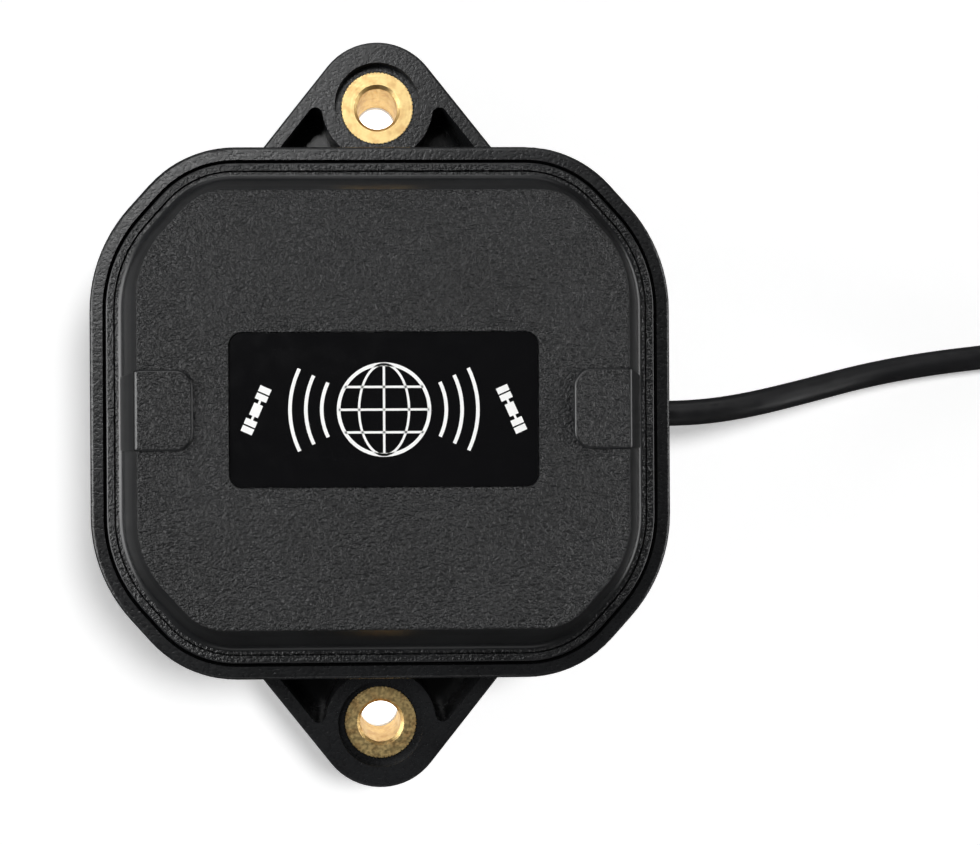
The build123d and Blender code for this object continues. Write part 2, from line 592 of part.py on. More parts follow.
def make_nut():
    """Hexagonal coupling nut with a thread inside its mouth."""
    corner_r = NUT_ACROSS / 2 / cos(pi / 6)
    hexagon = Plane.YZ * RegularPolygon(NUT_ACROSS / 2, 6, major_radius=False)
    nut = Pos(NUT_BACK, 0, 0) * extrude(hexagon, amount=NUT_FRONT - NUT_BACK)
    nut &= turned(
        (NUT_BACK, 0), (NUT_BACK, corner_r - 0.7), (NUT_BACK + 0.4, corner_r + 0.01),
        (NUT_FRONT - 0.4, corner_r + 0.01), (NUT_FRONT, corner_r - 0.7), (NUT_FRONT, 0),
    )
    nut -= turned(
        (NUT_BACK - 1, 0), (NUT_BACK - 1, 2.66), (9.05, 2.66), (9.05, 3.0), (9.65, 3.0), (9.65, 2.66),
        (11.0, 2.66), (11.0, NUT_THREAD_R), (NUT_FRONT + 1, NUT_THREAD_R), (NUT_FRONT + 1, 0),
    )
    for i in range(NUT_THREADS):
        x = NUT_FRONT - NUT_MOUTH - (i + 0.5) * NUT_THREAD_PITCH
        nut -= turned(
            (x - NUT_THREAD_PITCH * 0.4, NUT_THREAD_R - 0.02), (x, NUT_THREAD_R + NUT_THREAD_DEPTH),
            (x + NUT_THREAD_PITCH * 0.4, NUT_THREAD_R - 0.02),
        )
    mouth_x, mouth_r = NUT_FRONT - NUT_MOUTH, NUT_THREAD_R + NUT_MOUTH
    nut -= turned((mouth_x, 0), (mouth_x, NUT_THREAD_R), (NUT_FRONT, mouth_r), (NUT_FRONT, 0))
    return place_plug(nut)


# ---------------------------------------------------------------- write every piece
def main():
    run, run_length = lead_tube("lead_run", RUN_ROUTE)
    tail, tail_length = lead_tube("lead_tail", TAIL_ROUTE)
    print("left for the coil", round(LEAD_LENGTH - run_length - tail_length, 1))
    low, high = LOWER_PATCH_Z, LOWER_PATCH_Z + PATCH_TALL
    all_feeds = UPPER_FEEDS + LOWER_FEEDS
    keeper_z = MAGNET_FLOOR_Z + MAGNET_TALL
    pieces = {
        "base_housing": make_base(),
        "top_cover": make_cover(),
        "cover_seal": make_seal(),
        "front_label": make_front_label(),
        "rating_label": make_rating_label(),
        "lug_bush_a": make_bush(LUG_HOLE_Y),
        "lug_bush_b": make_bush(-LUG_HOLE_Y),
        "case_screws": make_case_screws(),
        "board_screws": make_board_screws(),
        "circuit_board": make_board(),
        "lower_patch_tape": pierced(square(LOWER_PATCH - 1, BOARD_TOP_Z, low), all_feeds),
        "lower_patch": pierced(square(LOWER_PATCH, low, high), all_feeds),
        "lower_patch_metal": pierced(square(LOWER_METAL, LOWER_METAL_Z, UPPER_TAPE_Z), all_feeds),
        "upper_patch_tape": pierced(square(UPPER_PATCH - 1, UPPER_TAPE_Z, UPPER_PATCH_Z), UPPER_FEEDS),
        "upper_patch": pierced(square(UPPER_PATCH, UPPER_PATCH_Z, UPPER_METAL_Z), UPPER_FEEDS),
        "upper_patch_metal": pierced(square(UPPER_METAL, UPPER_METAL_Z, FEED_TOP_Z), UPPER_FEEDS),
        "feed_pins": make_feed_pins(),
        "shield_can": make_shield_can(),
        "amplifier_chips": make_chips(),
        "magnet_a": make_magnet(1),
        "magnet_b": make_magnet(-1),
        "magnet_keeper": rounded_plate(KEEPER_X, KEEPER_Y, 2.0, keeper_z, keeper_z + KEEPER_THICK),
        "lead_gland": make_gland(),
        "lead_crimp_ring": make_crimp_ring(),
        "inner_lead": make_inner_lead(),
        "inner_lead_core": make_core(),
        "inner_lead_wire": make_inner_wire(),
        "lead_run": run,
        "lead_coil": make_coil(),
        "lead_tail": tail,
        "coil_ties": make_ties(),
        "plug_sleeve": make_sleeve(),
        "plug_ferrule": make_ferrule(),
        "plug_body": make_plug_body(),
        "plug_insulator": make_insulator(),
        "plug_pin": make_pin(),
        "plug_retaining_ring": make_retaining_ring(),
        "plug_seal": make_plug_seal(),
        "plug_nut": make_nut(),
    }
    for name, shape in pieces.items():
        shape.label = name
        export_step(shape, f"parts/{name}.step")


os.makedirs("parts", exist_ok=True)
main()
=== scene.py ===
import random
from math import asin, atan2, cos, pi, radians, sin

import bpy
from mathutils import Matrix, Vector


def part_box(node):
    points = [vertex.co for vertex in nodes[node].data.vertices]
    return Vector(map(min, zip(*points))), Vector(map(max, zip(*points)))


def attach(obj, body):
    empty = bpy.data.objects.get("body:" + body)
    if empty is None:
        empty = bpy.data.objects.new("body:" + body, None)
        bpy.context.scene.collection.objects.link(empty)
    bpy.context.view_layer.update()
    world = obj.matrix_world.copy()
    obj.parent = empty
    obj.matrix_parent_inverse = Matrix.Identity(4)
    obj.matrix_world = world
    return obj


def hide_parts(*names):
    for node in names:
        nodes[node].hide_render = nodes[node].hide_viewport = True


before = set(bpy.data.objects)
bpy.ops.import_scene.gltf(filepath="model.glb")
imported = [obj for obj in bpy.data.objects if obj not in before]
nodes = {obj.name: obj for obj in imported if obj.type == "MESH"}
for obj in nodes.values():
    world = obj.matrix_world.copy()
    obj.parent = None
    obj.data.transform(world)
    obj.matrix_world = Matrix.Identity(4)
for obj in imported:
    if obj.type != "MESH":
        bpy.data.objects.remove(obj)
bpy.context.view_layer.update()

MM = 0.001
BODY = "antenna"
LUG_HOLE_Y = 34.0                    # the lugs' holes and their bushes stand at + and - this


# ---------------------------------------------------------------- camera
LENS, SENSOR = 35.3, 36.0            # millimetres
SHIFT = (0.1303, 0.0253)
CAMERA_PLACE = (-3.418, -3.559, 113.0)
CAMERA_LEAN, CAMERA_TURN = 0.841, -0.328    # degrees


def make_camera():
    """Straight above the head, a little to its left, with a very slight lean and turn."""
    data = bpy.data.cameras.new("camera")
    data.sensor_width = SENSOR
    data.lens = LENS
    data.shift_x, data.shift_y = SHIFT
    data.clip_start, data.clip_end = 0.01, 20.0
    camera = bpy.data.objects.new("camera", data)
    bpy.context.collection.objects.link(camera)
    camera.matrix_world = (
        Matrix.Translation([c * MM for c in CAMERA_PLACE])
        @ Matrix.Rotation(-radians(CAMERA_LEAN), 4, "Y")
        @ Matrix.Rotation(radians(CAMERA_TURN), 4, "Z")
    )
    bpy.context.scene.camera = camera


# ---------------------------------------------------------------- node helpers
class Shader:
    """A principled material whose helper calls add and join nodes."""

    def __init__(self, name, color, roughness, metallic=0.0):
        self.material = bpy.data.materials.new(name)
        self.material.use_nodes = True
        self.tree = self.material.node_tree
        self.surface = self.tree.nodes["Principled BSDF"]
        self.set("Base Color", (*color, 1.0))
        self.set("Roughness", roughness)
        self.set("Metallic", metallic)
        self.coordinates = None

    def set(self, socket, value):
        self.surface.inputs[socket].default_value = value

    def node(self, kind, **settings):
        made = self.tree.nodes.new(kind)
        for key, value in settings.items():
            setattr(made, key, value)
        return made

    def join(self, source, target):
        self.tree.links.new(source, target)

    def place(self, centre=(0.0, 0.0, 0.0)):
        """Object coordinates in millimetres from a centre."""
        if self.coordinates is None:
            self.coordinates = self.node("ShaderNodeTexCoord")
        mapping = self.node("ShaderNodeMapping")
        mapping.inputs["Scale"].default_value = (1 / MM,) * 3
        mapping.inputs["Location"].default_value = [-c for c in centre]
        self.join(self.coordinates.outputs["Object"], mapping.inputs["Vector"])
        return mapping.outputs["Vector"]

    def noise(self, per_mm, detail=2.0, rough=0.5, at=None):
        made = self.node("ShaderNodeTexNoise")
        made.inputs["Scale"].default_value = per_mm
        made.inputs["Detail"].default_value = detail
        made.inputs["Roughness"].default_value = rough
        self.join(at or self.place(), made.inputs["Vector"])
        return made.outputs["Fac"]

    def math(self, operation, first, second=0.0, clamp=False):
        made = self.node("ShaderNodeMath", operation=operation, use_clamp=clamp)
        for socket, value in zip(made.inputs, (first, second)):
            if isinstance(value, (int, float)):
                socket.default_value = value
            else:
                self.join(value, socket)
        return made.outputs[0]

    def remap(self, value, low, high, to_low, to_high):
        made = self.node("ShaderNodeMapRange")
        made.interpolation_type = "SMOOTHSTEP"
        for key, number in (("From Min", low), ("From Max", high), ("To Min", to_low), ("To Max", to_high)):
            made.inputs[key].default_value = number
        self.join(value, made.inputs["Value"])
        return made.outputs["Result"]

    def mix(self, factor, first, second):
        """Two colours, mixed by a factor."""
        made = self.node("ShaderNodeMix", data_type="RGBA")
        self.join(factor, made.inputs["Factor"])
        for socket, value in ((made.inputs[6], first), (made.inputs[7], second)):
            if isinstance(value, tuple):
                socket.default_value = (*value, 1.0)
            else:
                self.join(value, socket)
        return made.outputs[2]

    def mix_value(self, factor, first, second):
        """Two numbers, mixed by a factor."""
        made = self.node("ShaderNodeMix", data_type="FLOAT")
        self.join(factor, made.inputs["Factor"])
        for socket, value in ((made.inputs["A"], first), (made.inputs["B"], second)):
            if isinstance(value, (int, float)):
                socket.default_value = value
            else:
                self.join(value, socket)
        return made.outputs["Result"]

    def facing(self, axis="Z"):
        """The surface's own normal along one row axis."""
        if self.coordinates is None:
            self.coordinates = self.node("ShaderNodeTexCoord")
        split = self.node("ShaderNodeSeparateXYZ")
        self.join(self.coordinates.outputs["Normal"], split.inputs[0])
        return split.outputs[axis]

    def split(self, vector):
        made = self.node("ShaderNodeSeparateXYZ")
        self.join(vector, made.inputs[0])
        return made.outputs

    def color_from(self, output):
        self.join(output, self.surface.inputs["Base Color"])

    def roughness_from(self, output):
        self.join(output, self.surface.inputs["Roughness"])

    def bump(self, height, strength, depth_mm):
        made = self.node("ShaderNodeBump")
        if isinstance(strength, (int, float)):
            made.inputs["Strength"].default_value = strength
        else:
            self.join(strength, made.inputs["Strength"])
        made.inputs["Distance"].default_value = depth_mm * MM
        self.join(height, made.inputs["Height"])
        self.join(made.outputs["Normal"], self.surface.inputs["Normal"])
        return made


# ---------------------------------------------------------------- materials
GRAIN_LEAN = -45.0                   # degrees, the way the grain is drawn out
GRAIN_PER_MM = 3.4
COVER_GRAIN, HOUSING_GRAIN = 0.14, 0.014    # relief in millimetres
FLANGE_Z = 14.4                      # just over the cover's flange
EDGE_Z, TOP_Z = 19.0, 22.2           # the rounded edge of the flat top lies between these
POCKET_Z = 3.05                      # just over the floors of the lugs' pockets
GRAINED_GLOSS = (0.30, 0.40)         # roughness of the cover's grained faces
SLOPE_GLOSS, EDGE_GLOSS = 0.28, (0.34, 0.6)
HOUSING_GLOSS, POCKET_GLOSS = (0.27, 0.34), 0.2
BLACK = (0.0075, 0.0078, 0.0085)
NICKEL = (0.74, 0.71, 0.65)
BRASS, BRASS_STAIN, BRASS_GLOSS = (0.83, 0.62, 0.28), (0.70, 0.47, 0.2), 0.44


def grain_height(shader, at, per_mm):
    """The spark-eroded relief: crisp little craters of two sizes, a trifle longer one way."""
    stretched = shader.node("ShaderNodeMapping")
    stretched.inputs["Rotation"].default_value = (0.0, 0.0, radians(GRAIN_LEAN))
    stretched.inputs["Scale"].default_value = (0.88, 1.12, 1.0)
    shader.join(at, stretched.inputs["Vector"])
    coarse = shader.noise(per_mm, 1.0, 0.5, stretched.outputs["Vector"])
    fine = shader.noise(2.1 * per_mm, 1.0, 0.5, at)
    crisp = shader.remap(coarse, 0.34, 0.66, 0.0, 1.0)
    return coarse, shader.math("ADD", crisp, shader.math("MULTIPLY", fine, 0.9))


def moulded_tone(shader, at, color):
    """Faint clouds of lighter and darker black, as in any filled polymer."""
    drift = shader.noise(0.12, 2.0, 0.5, at)
    pale, dark = tuple(1.2 * c for c in color), tuple(0.85 * c for c in color)
    shader.color_from(shader.mix(shader.remap(drift, 0.35, 0.65, 0.0, 1.0), dark, pale))


def cover_plastic(name, color):
    """Black moulding: deep grain on the flat top and its edge, finer on the flange, satin slopes."""
    shader = Shader(name, color, 0.5)
    shader.set("Specular IOR Level", 0.5)
    at = shader.place()
    up, z = shader.facing(), shader.split(at)["Z"]
    coarse, height = grain_height(shader, at, GRAIN_PER_MM)
    raised = shader.remap(z, FLANGE_Z, FLANGE_Z + 1.0, 0.0, 1.0)
    between = shader.math("MULTIPLY", shader.remap(z, EDGE_Z, EDGE_Z + 1.0, 0.0, 1.0),
                          shader.remap(z, TOP_Z, TOP_Z + 0.03, 1.0, 0.0))
    edge = shader.math("MULTIPLY", between, shader.remap(up, 0.97, 0.995, 1.0, 0.0))
    level = shader.remap(up, 0.955, 0.995, 0.0, 1.0)
    flat = shader.mix_value(edge, level, shader.remap(up, 0.5, 0.9, 0.0, 0.8))
    strength = shader.math("MULTIPLY", flat, shader.remap(raised, 0.0, 1.0, 0.5, 1.0))
    shader.bump(height, strength, COVER_GRAIN)
    grained = shader.remap(coarse, 0.3, 0.7, *GRAINED_GLOSS)
    satin = shader.math("MULTIPLY", raised, shader.remap(up, 0.9, 0.97, 0.0, 1.0))
    slope = shader.mix_value(edge, SLOPE_GLOSS, shader.remap(up, 0.4, 0.8, *EDGE_GLOSS))
    shader.roughness_from(shader.mix_value(satin, slope, grained))
    moulded_tone(shader, at, color)
    return shader.material


def housing_plastic(name, color):
    """Satin black moulding with a faint grain, and glossy floors in the lugs' pockets."""
    shader = Shader(name, color, 0.5)
    shader.set("Specular IOR Level", 0.5)
    at = shader.place()
    up, z = shader.facing(), shader.split(at)["Z"]
    floor = shader.math("MULTIPLY", shader.remap(z, POCKET_Z, POCKET_Z + 0.1, 1.0, 0.0),
                        shader.remap(up, 0.9, 0.95, 0.0, 1.0))
    coarse, height = grain_height(shader, at, GRAIN_PER_MM)
    shader.bump(height, shader.remap(floor, 0.2, 0.8, 1.0, 0.06), HOUSING_GRAIN)
    grained = shader.remap(coarse, 0.3, 0.7, *HOUSING_GLOSS)
    shader.roughness_from(shader.mix_value(floor, grained, POCKET_GLOSS))
    moulded_tone(shader, at, color)
    return shader.material


def plain_plastic(name, color, roughness, grain=0.02):
    shader = Shader(name, color, roughness)
    shader.bump(shader.noise(5.0, 3.0), 0.4, grain)
    drift = shader.noise(0.6, 2.0)
    pale = tuple(min(1.0, 1.15 * c + 0.002) for c in color)
    shader.color_from(shader.mix(drift, color, pale))
    patchy = shader.noise(1.7, 2.0)
    shader.roughness_from(shader.remap(patchy, 0.3, 0.7, roughness - 0.05, roughness + 0.06))
    return shader.material


def gloss_film(name):
    shader = Shader(name, (0.004, 0.004, 0.0045), 0.12)
    shader.set("Specular IOR Level", 0.35)
    haze = shader.noise(0.5, 3.0)
    shader.roughness_from(shader.remap(haze, 0.35, 0.7, 0.1, 0.17))
    shader.bump(shader.noise(0.35, 1.0), 0.15, 0.03)
    return shader.material


def turned_metal(name, color, roughness, axis, centre, rings=6.0, stain=None):
    """Turned metal with fine rings round an axis and a slight stain."""
    shader = Shader(name, color, roughness, 1.0)
    x, y, z = shader.split(shader.place(centre))
    across = {"X": (y, z), "Y": (x, z), "Z": (x, y)}[axis]
    squares = [shader.math("MULTIPLY", a, a) for a in across]
    radius = shader.math("SQRT", shader.math("ADD", *squares))
    along = {"X": x, "Y": y, "Z": z}[axis]
    sweep = shader.math("ADD", radius, along)
    wave = shader.math("SINE", shader.math("MULTIPLY", sweep, 2 * pi * rings))
    rough = shader.noise(3.0, 3.0)
    height = shader.math("ADD", shader.math("MULTIPLY", wave, 0.3), rough)
    shader.bump(height, 0.3, 0.012)
    shader.roughness_from(shader.remap(rough, 0.3, 0.7, roughness - 0.07, roughness + 0.1))
    stained = stain or tuple(0.72 * c for c in color)
    patches = shader.remap(shader.noise(0.9, 3.0), 0.42, 0.68, 0.0, 1.0)
    shader.color_from(shader.mix(patches, color, stained))
    return shader.material


def turned_brass(name, y):
    """The brass of the bush in the lug at y."""
    return turned_metal(name, BRASS, BRASS_GLOSS, "Z", (0, y, 0), 3.0, BRASS_STAIN)


def sheet_metal(name, color, roughness):
    shader = Shader(name, color, roughness, 1.0)
    long = shader.node("ShaderNodeMapping")
    long.inputs["Scale"].default_value = (0.15, 4.0, 4.0)
    shader.join(shader.place(), long.inputs["Vector"])
    lines = shader.noise(2.0, 3.0, 0.6, long.outputs["Vector"])
    shader.bump(lines, 0.25, 0.01)
    shader.roughness_from(shader.remap(lines, 0.3, 0.7, roughness - 0.05, roughness + 0.1))
    dull = tuple(0.8 * c for c in color)
    shader.color_from(shader.mix(shader.noise(0.4, 2.0), color, dull))
    return shader.material


def sheath(name):
    """The lead's extruded jacket: satin black with a faint orange-peel skin."""
    shader = Shader(name, (0.010, 0.010, 0.011), 0.36)
    shader.set("Specular IOR Level", 0.5)
    skin = shader.noise(2.2, 2.0)
    shader.bump(skin, 0.25, 0.02)
    shader.roughness_from(shader.remap(shader.noise(0.9, 3.0), 0.3, 0.7, 0.3, 0.44))
    dark, pale = (0.008, 0.008, 0.009), (0.016, 0.016, 0.017)
    shader.color_from(shader.mix(shader.noise(0.25, 2.0), dark, pale))
    return shader.material


def board_green(name):
    shader = Shader(name, (0.02, 0.11, 0.045), 0.35)
    tracks = shader.node("ShaderNodeTexVoronoi", feature="DISTANCE_TO_EDGE")
    tracks.inputs["Scale"].default_value = 0.45
    shader.join(shader.place(), tracks.inputs["Vector"])
    edge = shader.remap(tracks.outputs["Distance"], 0.03, 0.06, 1.0, 0.0)
    shader.color_from(shader.mix(edge, (0.02, 0.11, 0.045), (0.045, 0.19, 0.08)))
    shader.bump(edge, 0.4, 0.03)
    return shader.material


def film_silver(name):
    """A blank silver-grey film with a thin printed border."""
    shader = Shader(name, (0.55, 0.56, 0.57), 0.4)
    x, y, _ = shader.split(shader.place())
    half_x, half_y, line = 11.6, 6.1, 0.14
    over_x = shader.math("SUBTRACT", shader.math("ABSOLUTE", x), half_x)
    over_y = shader.math("SUBTRACT", shader.math("ABSOLUTE", y), half_y)
    outside = shader.math("ABSOLUTE", shader.math("MAXIMUM", over_x, over_y))
    border = shader.remap(outside, line, line + 0.05, 1.0, 0.0)
    shader.color_from(shader.mix(border, (0.55, 0.56, 0.57), (0.03, 0.03, 0.03)))
    shader.bump(shader.noise(4.0, 2.0), 0.3, 0.01)
    return shader.material


def make_materials():
    """The Blender material of each CAD node."""
    low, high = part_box("plug_nut")
    plug_axis = ((low + high) / 2) / MM
    housing = housing_plastic("housing_black", BLACK)
    cover = cover_plastic("cover_black", BLACK)
    tin = sheet_metal("tinned", (0.68, 0.69, 0.68), 0.35)
    zinc = sheet_metal("zinc_plate", (0.5, 0.5, 0.52), 0.35)
    silver = sheet_metal("silver_paste", (0.82, 0.81, 0.78), 0.45)
    ceramic = plain_plastic("patch_ceramic", (0.60, 0.56, 0.48), 0.6)
    tape = plain_plastic("adhesive_tape", (0.75, 0.74, 0.70), 0.5)
    nickel_turned = turned_metal("nickel_plate", NICKEL, 0.24, "X", plug_axis, 4.0)
    gold = turned_metal("gold_plate", (0.90, 0.68, 0.32), 0.22, "X", plug_axis, 4.0)
    magnet = turned_metal("magnet_plate", (0.72, 0.71, 0.70), 0.2, "Z", (0, 0, 0), 1.5)
    jacket = sheath("lead_jacket")
    chosen = {
        "base_housing": housing,
        "top_cover": cover,
        "cover_seal": plain_plastic("seal_rubber", (0.03, 0.03, 0.032), 0.7),
        "front_label": gloss_film("label_film"),
        "rating_label": film_silver("rating_film"),
        "lug_bush_a": turned_brass("brass_a", LUG_HOLE_Y),
        "lug_bush_b": turned_brass("brass_b", -LUG_HOLE_Y),
        "case_screws": turned_metal("screw_zinc", (0.42, 0.42, 0.44), 0.32, "Z", (0, 0, 0), 3.0),
        "board_screws": zinc,
        "circuit_board": board_green("board_green"),
        "lower_patch_tape": tape,
        "upper_patch_tape": tape,
        "lower_patch": ceramic,
        "upper_patch": ceramic,
        "lower_patch_metal": silver,
        "upper_patch_metal": silver,
        "feed_pins": tin,
        "shield_can": tin,
        "amplifier_chips": plain_plastic("chip_epoxy", (0.02, 0.02, 0.021), 0.45),
        "magnet_a": magnet,
        "magnet_b": magnet,
        "magnet_keeper": zinc,
        "lead_gland": plain_plastic("gland_rubber", (0.014, 0.014, 0.015), 0.55),
        "lead_crimp_ring": tin,
        "inner_lead": jacket,
        "inner_lead_core": plain_plastic("core_polyethylene", (0.82, 0.82, 0.78), 0.45),
        "inner_lead_wire": turned_metal("bare_copper", (0.85, 0.45, 0.28), 0.3, "X", (0, 0, 0)),
        "coil_ties": plain_plastic("tie_coating", (0.018, 0.018, 0.019), 0.42),
        "plug_sleeve": plain_plastic("sleeve_polymer", (0.014, 0.014, 0.015), 0.45, 0.03),
        "plug_ferrule": nickel_turned,
        "plug_body": nickel_turned,
        "plug_insulator": plain_plastic("white_fluoropolymer", (0.85, 0.85, 0.83), 0.4),
        "plug_pin": gold,
        "plug_retaining_ring": turned_metal("phosphor_bronze", (0.78, 0.5, 0.28), 0.3, "X", plug_axis),
        "plug_seal": plain_plastic("silicone_red", (0.42, 0.09, 0.04), 0.5),
        "plug_nut": nickel_turned,
    }
    for name, material in chosen.items():
        dress(nodes[name], material)
    return jacket


def dress(piece, material):
    """Puts one material on a piece in place of whatever it came with."""
    if not piece.data.materials:
        piece.data.materials.append(material)
    for i in range(len(piece.data.materials)):
        piece.data.materials[i] = material


# ---------------------------------------------------------------- the label's print
INK_TALL = 0.02                      # millimetres of ink on the film
LINE_W, FINE_W = 0.34, 0.22          # widths of the printed lines
GLOBE_R, MERIDIANS, PARALLELS = 4.3, (0.0, 0.55), (-0.5, 0.0, 0.5)
WAVE_RADII, WAVE_HALF = (5.9, 7.4, 8.9), 26.0
SATELLITE_X, SATELLITE_TURN = 12.1, 24.0


class Print:
    """Flat strokes and patches of ink, gathered as one mesh on top of the label's film."""

    def __init__(self, centre, level):
        self.centre, self.level = centre, level
        self.points, self.faces = [], []

    def add(self, x, y, height):
        place = (self.centre[0] + x, self.centre[1] + y, self.level + height)
        self.points.append(tuple(c * MM for c in place))

    def stroke(self, line, width, closed=False):
        """A ribbon of even width along a line of points."""
        first, count = len(self.points), len(line)
        for i, (x, y) in enumerate(line):
            before = line[i - 1] if closed or i > 0 else line[0]
            after = line[(i + 1) % count] if closed or i < count - 1 else line[-1]
            along = Vector((after[0] - before[0], after[1] - before[1])).normalized()
            for side, height in ((1, 0.0), (1, INK_TALL), (-1, INK_TALL), (-1, 0.0)):
                self.add(x - along.y * side * width / 2, y + along.x * side * width / 2, height)
        for i in range(count if closed else count - 1):
            here, there = first + 4 * i, first + 4 * ((i + 1) % count)
            for k in range(4):
                step = (k + 1) % 4
                self.faces.append((here + k, here + step, there + step, there + k))
        if not closed:
            last = first + 4 * (count - 1)
            self.faces += [(first + 3, first + 2, first + 1, first), (last, last + 1, last + 2, last + 3)]

    def piece(self, name, material):
        mesh = bpy.data.meshes.new(name)
        mesh.from_pydata(self.points, [], self.faces)
        made = bpy.data.objects.new(name, mesh)
        bpy.context.collection.objects.link(made)
        dress(made, material)
        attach(made, BODY)


def arc(radius, start, end, count, squeeze=1.0):
    """Points of a circular or elliptical arc, in degrees."""
    angles = [radians(start + (end - start) * i / count) for i in range(count + 1)]
    return [(radius * squeeze * cos(a), radius * sin(a)) for a in angles]


def draw_satellite(ink, x):
    """A small plain satellite: a body with a panel on each side, leaning outward."""
    lean = radians(SATELLITE_TURN if x > 0 else -SATELLITE_TURN)

    def turned(points):
        return [(x + px * cos(lean) - py * sin(lean), px * sin(lean) + py * cos(lean)) for px, py in points]

    ink.stroke(turned([(0.0, -0.62), (0.0, 0.62)]), 0.9)
    for side in (-1, 1):
        ink.stroke(turned([(0.0, side * 0.62), (0.0, side * 1.0)]), FINE_W)
        for k in range(2):
            low = side * (1.0 + 0.75 * k)
            ink.stroke(turned([(0.0, low), (0.0, low + side * 0.6)]), 1.15)


def make_label_print():
    """A generic sign: a globe's grid, signal waves to both sides, and a satellite beyond each."""
    low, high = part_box("front_label")
    middle = (low + high) / 2 / MM
    ink = Print((middle.x, middle.y), high.z / MM)
    ink.stroke(arc(GLOBE_R, 0, 360, 72)[:-1], LINE_W, closed=True)
    for squeeze in MERIDIANS:
        if squeeze:
            ink.stroke(arc(GLOBE_R, 0, 360, 72, squeeze)[:-1], FINE_W, closed=True)
        else:
            ink.stroke([(0.0, -GLOBE_R), (0.0, GLOBE_R)], FINE_W)
    for share in PARALLELS:
        half = GLOBE_R * cos(asin(share))
        ink.stroke([(-half, share * GLOBE_R), (half, share * GLOBE_R)], FINE_W)
    for radius in WAVE_RADII:
        for facing in (0, 180):
            ink.stroke(arc(radius, facing - WAVE_HALF, facing + WAVE_HALF, 20), LINE_W)
    for x in (-SATELLITE_X, SATELLITE_X):
        draw_satellite(ink, x)
    ink.piece("label_print", plain_plastic("label_ink", (0.80, 0.80, 0.79), 0.45, 0.005))


# ---------------------------------------------------------------- the lead
LEAD_D = 2.8

# From the gland to the coil, and from the coil to the plug, in millimetres.
RUN_ROUTE = [
    (31.4, 0.0, 7.2),
    (34.8, 0.0, 7.2),
    (40.8, 0.8, 6.8),
    (48.4, 2.5, 4.8),
    (56.6, 4.5, 2.7),
    (64.8, 5.9, 1.6),
    (73.0, 6.8, 1.42),
    (81.3, 8.0, 1.42),
    (89.4, 10.4, 1.42),
    (96.9, 13.5, 1.42),
    (103.6, 17.1, 1.43),
]
TAIL_ROUTE = [
    (88.6, -1.4, 15.7),
    (90.9, 7.2, 15.6),
    (95.4, 15.6, 14.9),
    (102.2, 22.8, 12.0),
    (111.2, 27.2, 7.4),
    (121.4, 28.8, 4.0),
    (131.4, 28.8, 4.0),
]
COIL_CENTRE = (115.0, -8.0)
COIL_MEAN_R = 21.7
COIL_ROWS = (5, 6, 7, 7, 6, 5)
COLUMN_PITCH, ROW_PITCH = 2.9, 2.85
POINTS_PER_TURN = 16
TIE_ANGLES = (20.0, 245.0)
TIE_WALL = 0.6


def coil_cells():
    """(radius, height) of every turn, row by row, wound to and fro from the outside bottom."""
    cells = []
    for row, count in enumerate(COIL_ROWS):
        radii = [COIL_MEAN_R + (i - (count - 1) / 2) * COLUMN_PITCH for i in range(count)]
        if row % 2 == 0:
            radii.reverse()
        cells += [(r, LEAD_D / 2 + row * ROW_PITCH) for r in radii]
    return cells


def coil_points():
    """Control points of the wound turns, clockwise from above."""
    draw = random.Random(7)
    cells = coil_cells()
    start = atan2(RUN_ROUTE[-1][1] - COIL_CENTRE[1], RUN_ROUTE[-1][0] - COIL_CENTRE[0])
    end = atan2(TAIL_ROUTE[0][1] - COIL_CENTRE[1], TAIL_ROUTE[0][0] - COIL_CENTRE[0])
    total = 2 * pi * len(cells) - (end - start)
    count = round(POINTS_PER_TURN * total / (2 * pi))
    step = total / count
    swell = 8 / (6 + 2 * cos(step))
    shifts = [draw.uniform(-0.05, 0.05) for _ in cells]
    points = []
    for k in range(1, count):
        swept = k * step
        turn = min(int(swept / (2 * pi)), len(cells) - 1)
        part = swept / (2 * pi) - turn
        (r0, z0), (r1, z1) = cells[turn], cells[min(turn + 1, len(cells) - 1)]
        ease = min(1.0, max(0.0, (part - 0.78 - shifts[turn]) / 0.2))
        ease = ease * ease * (3 - 2 * ease)
        radius, height = r0 + (r1 - r0) * ease, z0 + (z1 - z0) * ease
        angle = start - swept
        radius += draw.uniform(-0.035, 0.035)
        points.append(pinched(angle, radius, height, swell))
    return points


def pinched(angle, radius, height, swell):
    """A coil point, drawn in a little where a tie holds the turns."""
    hold = 0.0
    for tie in TIE_ANGLES:
        away = abs((angle - radians(tie) + pi) % (2 * pi) - pi)
        hold = max(hold, 1.0 - away / radians(28.0))
    hold = hold * hold * (3 - 2 * hold) if hold > 0 else 0.0
    radius = COIL_MEAN_R + (radius - COIL_MEAN_R) * (1 - 0.035 * hold)
    height = height * (1 - 0.055 * hold) + (TIE_WALL + 0.08) * hold
    radius *= swell
    return (COIL_CENTRE[0] + radius * cos(angle), COIL_CENTRE[1] + radius * sin(angle), height)


def make_lead(jacket):
    """The whole free lead as one smooth curve: the run, the coil's turns and the tail."""
    route = RUN_ROUTE + coil_points() + TAIL_ROUTE
    data = bpy.data.curves.new("lead", "CURVE")
    data.dimensions = "3D"
    data.resolution_u = 5
    data.bevel_depth = LEAD_D / 2 * MM
    data.bevel_resolution = 5
    data.use_fill_caps = True
    line = data.splines.new("NURBS")
    line.points.add(len(route) - 1)
    for point, place in zip(line.points, route):
        point.co = (*(c * MM for c in place), 1.0)
    line.order_u = 3
    line.use_endpoint_u = True
    lead = bpy.data.objects.new("lead", data)
    bpy.context.collection.objects.link(lead)
    dress(lead, jacket)
    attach(lead, BODY)
    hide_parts("lead_run", "lead_coil", "lead_tail")


